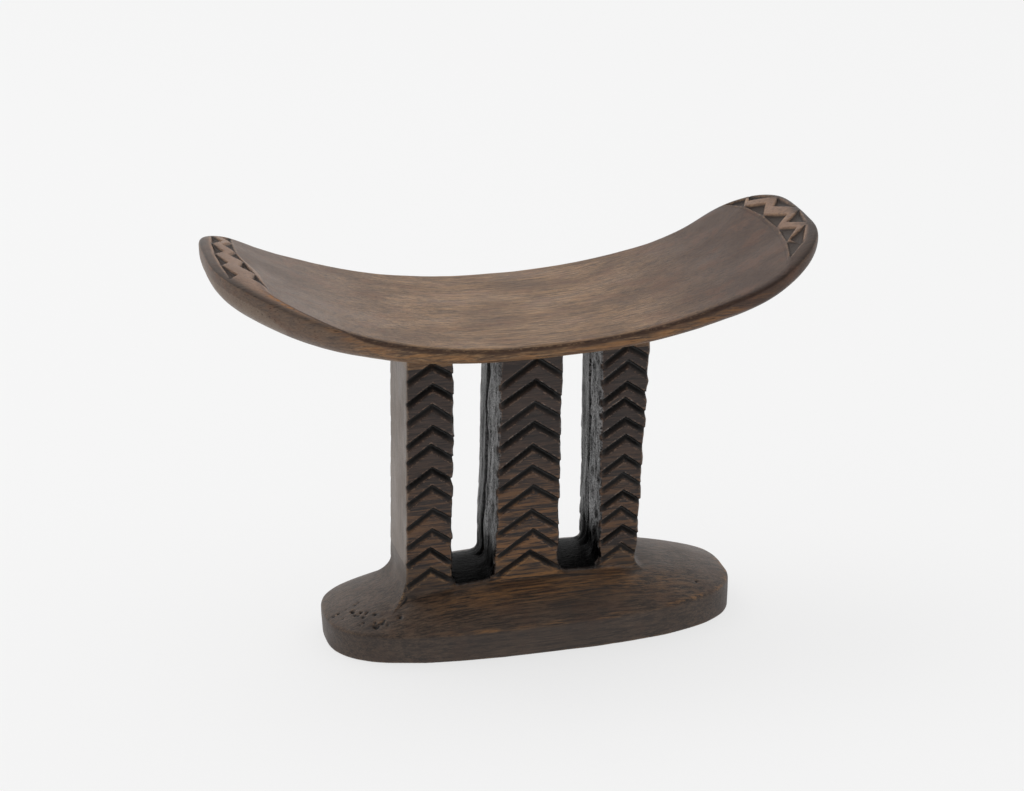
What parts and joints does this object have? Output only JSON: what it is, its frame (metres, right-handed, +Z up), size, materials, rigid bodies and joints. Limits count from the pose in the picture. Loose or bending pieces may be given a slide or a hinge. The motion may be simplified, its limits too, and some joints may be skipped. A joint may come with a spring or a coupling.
{
  "type": "headrest",
  "caption": "Carved wooden headrest: a curved, dished headpiece on chevron-cut posts above an oval, domed base.",
  "frame": {"origin": "on the surface the headrest stands on, below the middle of the headpiece", "axes": "+Z up; +X along the headpiece, towards its right-hand tip seen from the front; -Y towards the front"},
  "size_m": [0.2, 0.076, 0.1373],
  "materials": {
    "polished_wood": "dark brown wood, hand-polished satin with lengthwise grain, darkened rim",
    "carved_wood": "dark stained wood, knife-carved chevrons with worn edges, charred inner sides",
    "base_wood": "dark stained wood with warm worn streaks and a duller side wall"
  },
  "bodies": {
    "root": {"headpiece": "polished_wood", "left_post": "carved_wood", "centre_post": "carved_wood", "right_post": "carved_wood", "base": "base_wood"}
  },
  "joints": []
}
